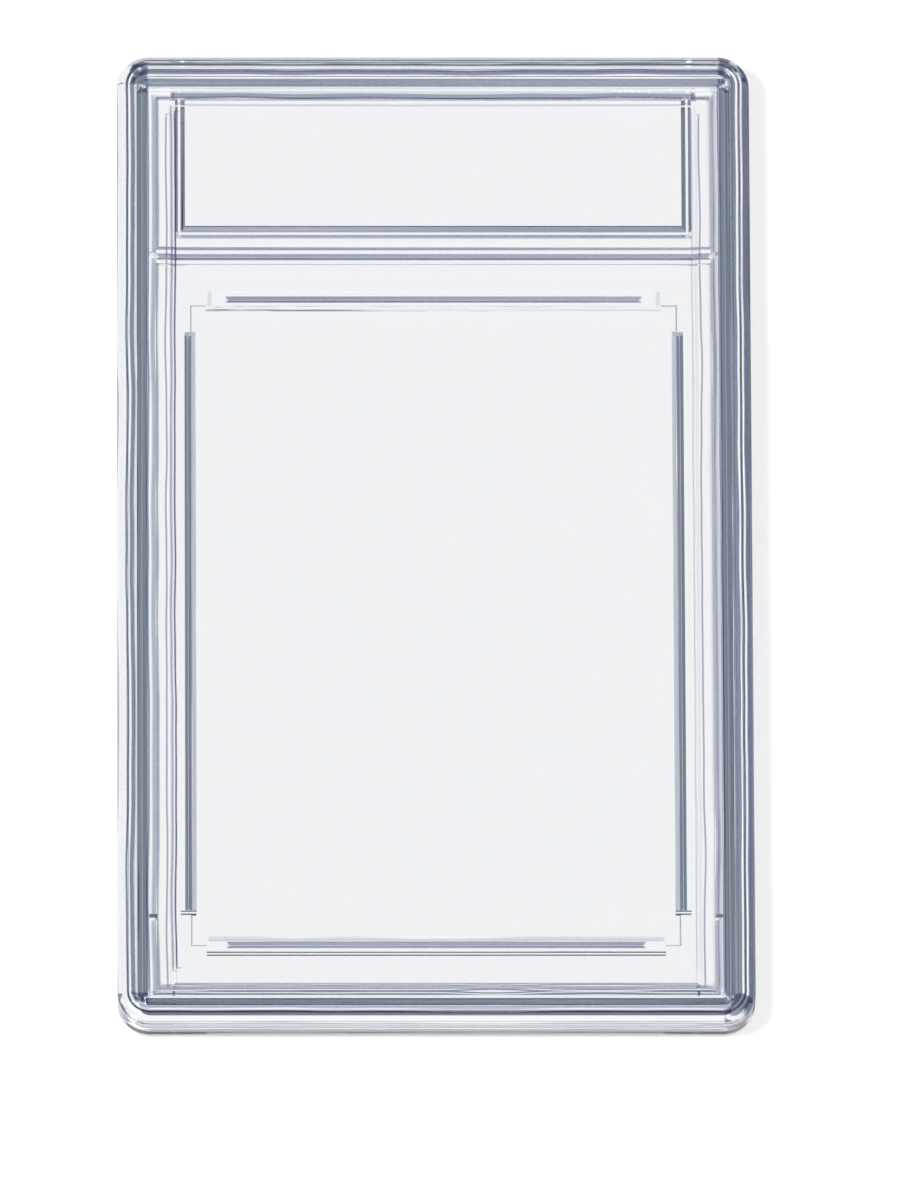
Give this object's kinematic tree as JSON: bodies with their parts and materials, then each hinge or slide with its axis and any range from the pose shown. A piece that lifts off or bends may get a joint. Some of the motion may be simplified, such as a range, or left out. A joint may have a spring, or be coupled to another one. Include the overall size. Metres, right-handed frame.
{
  "type": "trading card display case",
  "caption": "Clear flat snap-together case that shows a trading card under a label window; the front cover lifts off the back tray.",
  "frame": {"origin": "centre of the back face, in the plane that the closed case lies on", "axes": "+X to the right across the case seen from its front, +Y up the case to the label end, +Z out of the front face"},
  "size_m": [0.0836, 0.1354, 0.0064],
  "materials": {
    "clear_plastic": "polished clear moulded polystyrene"
  },
  "bodies": {
    "back_tray": {"back_tray": "clear_plastic"},
    "front_cover": {"front_cover": "clear_plastic"}
  },
  "joints": [
    {"name": "front_lift", "type": "slide", "parent": "back_tray", "child": "front_cover", "axis": [0, 0, 1], "range_m": [0, 0.02]}
  ]
}
